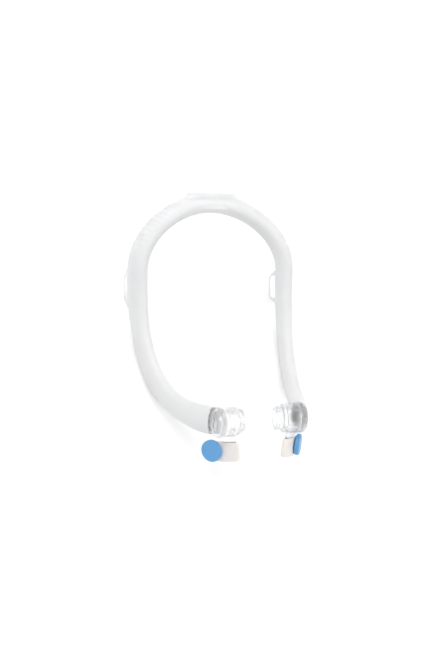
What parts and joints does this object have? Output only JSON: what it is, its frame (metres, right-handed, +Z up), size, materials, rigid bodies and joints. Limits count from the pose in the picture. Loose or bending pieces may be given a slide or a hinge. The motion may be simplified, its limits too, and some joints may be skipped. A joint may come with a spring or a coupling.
{
  "type": "cpap mask frame",
  "caption": "Hollow silicone tube-up frame of a breathing mask, with crown port, strap tabs, clear elbow connectors with release buttons, and magnetic strap clips.",
  "frame": {"origin": "middle of the lying frame's box, on the table under it", "axes": "+X to the wearer's left, +Y along the frame from the elbows towards the crown, +Z up, away from the table it lies on"},
  "size_m": [0.163, 0.2568, 0.0892],
  "materials": {
    "silicone": "milky translucent silicone, satin",
    "clear_plastic": "clear moulded polycarbonate, polished",
    "button_plastic": "clear moulded button with a fine grip rib, polished",
    "beige_plastic": "warm off-white moulded plastic, fine satin",
    "blue_plastic": "light blue moulded plastic, satin"
  },
  "bodies": {
    "frame": {"silicone_tube": "silicone", "connector_left": "clear_plastic", "connector_right": "clear_plastic", "magnet_clip_left": "beige_plastic", "magnet_clip_right": "beige_plastic", "magnet_disc_left": "blue_plastic", "magnet_disc_right": "blue_plastic"},
    "button_left": {"release_button_left": "button_plastic"},
    "button_right": {"release_button_right": "button_plastic"}
  },
  "joints": [
    {"name": "button_left_press", "type": "slide", "parent": "frame", "child": "button_left", "axis": [-0.9801, 0.1091, -0.166], "range_m": [0, 0.0012], "stiffness_N_per_m": 2000},
    {"name": "button_right_press", "type": "slide", "parent": "frame", "child": "button_right", "axis": [0.9801, 0.1091, -0.166], "range_m": [0, 0.0012], "stiffness_N_per_m": 2000}
  ]
}
